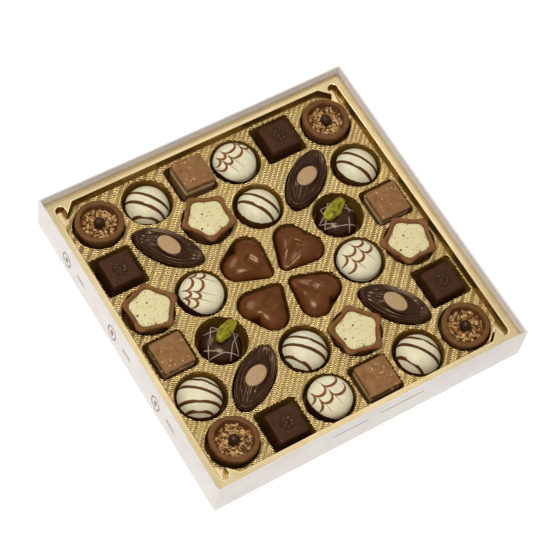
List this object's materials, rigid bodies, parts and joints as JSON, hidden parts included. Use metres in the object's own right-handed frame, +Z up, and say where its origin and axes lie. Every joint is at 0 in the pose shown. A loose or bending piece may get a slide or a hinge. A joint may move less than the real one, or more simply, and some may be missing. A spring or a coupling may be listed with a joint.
{
  "type": "box of chocolate pralines",
  "caption": "Low square card box without its lid, holding assorted chocolate pralines in the shaped pockets of a gold formed insert.",
  "frame": {"origin": "centre of the underside of the card box", "axes": "+Z up, out of the open top; -Y towards the front side; +X to the right seen from the front"},
  "size_m": [0.19, 0.19, 0.025],
  "materials": {
    "card_white": "smooth white coated card",
    "gold_sheet": "thin formed sheet with a finely embossed metallic gold surface",
    "milk_chocolate": "satin milk chocolate",
    "dark_chocolate": "satin dark chocolate",
    "ivory_chocolate": "satin ivory chocolate and pale cream",
    "nougat_filling": "matte smooth nougat",
    "chopped_nuts": "rough roasted chopped nuts",
    "pistachio_green": "ridged green nut kernel"
  },
  "bodies": {
    "root": {"card_box": "card_white", "chocolate_pearl_a1": "dark_chocolate", "chocolate_pearl_a6": "dark_chocolate", "chocolate_pearl_f1": "dark_chocolate", "chocolate_pearl_f6": "dark_chocolate", "cream_filling_b3": "ivory_chocolate", "cream_filling_c1": "ivory_chocolate", "cream_filling_d6": "ivory_chocolate", "cream_filling_e4": "ivory_chocolate", "cream_layer_a3": "ivory_chocolate", "cream_layer_c6": "ivory_chocolate", "cream_layer_d1": "ivory_chocolate", "cream_layer_f4": "ivory_chocolate", "cream_star_b3": "milk_chocolate", "cream_star_c1": "milk_chocolate", "cream_star_d6": "milk_chocolate", "cream_star_e4": "milk_chocolate", "dark_square_a5": "dark_chocolate", "dark_square_b1": "dark_chocolate", "dark_square_e6": "dark_chocolate", "dark_square_f2": "dark_chocolate", "feathered_dome_a4": "ivory_chocolate", "feathered_dome_c2": "ivory_chocolate", "feathered_dome_d5": "ivory_chocolate", "feathered_dome_f3": "ivory_chocolate", "gold_insert": "gold_sheet", "heart_c3": "milk_chocolate", "heart_c4": "milk_chocolate", "heart_d3": "milk_chocolate", "heart_d4": "milk_chocolate", "milk_square_a3": "milk_chocolate", "milk_square_c6": "milk_chocolate", "milk_square_d1": "milk_chocolate", "milk_square_f4": "milk_chocolate", "nougat_inlay_b2": "nougat_filling", "nougat_inlay_b5": "nougat_filling", "nougat_inlay_e2": "nougat_filling", "nougat_inlay_e5": "nougat_filling", "nougat_lens_b2": "dark_chocolate", "nougat_lens_b5": "dark_chocolate", "nougat_lens_e2": "dark_chocolate", "nougat_lens_e5": "dark_chocolate", "nut_cup_a1": "milk_chocolate", "nut_cup_a6": "milk_chocolate", "nut_cup_f1": "milk_chocolate", "nut_cup_f6": "milk_chocolate", "nut_filling_a1": "chopped_nuts", "nut_filling_a6": "chopped_nuts", "nut_filling_f1": "chopped_nuts", "nut_filling_f6": "chopped_nuts", "pistachio_dome_c5": "dark_chocolate", "pistachio_dome_d2": "dark_chocolate", "pistachio_kernel_c5": "pistachio_green", "pistachio_kernel_d2": "pistachio_green", "striped_ball_a2": "ivory_chocolate", "striped_ball_b4": "ivory_chocolate", "striped_ball_b6": "ivory_chocolate", "striped_ball_e1": "ivory_chocolate", "striped_ball_e3": "ivory_chocolate", "striped_ball_f5": "ivory_chocolate"}
  },
  "joints": []
}
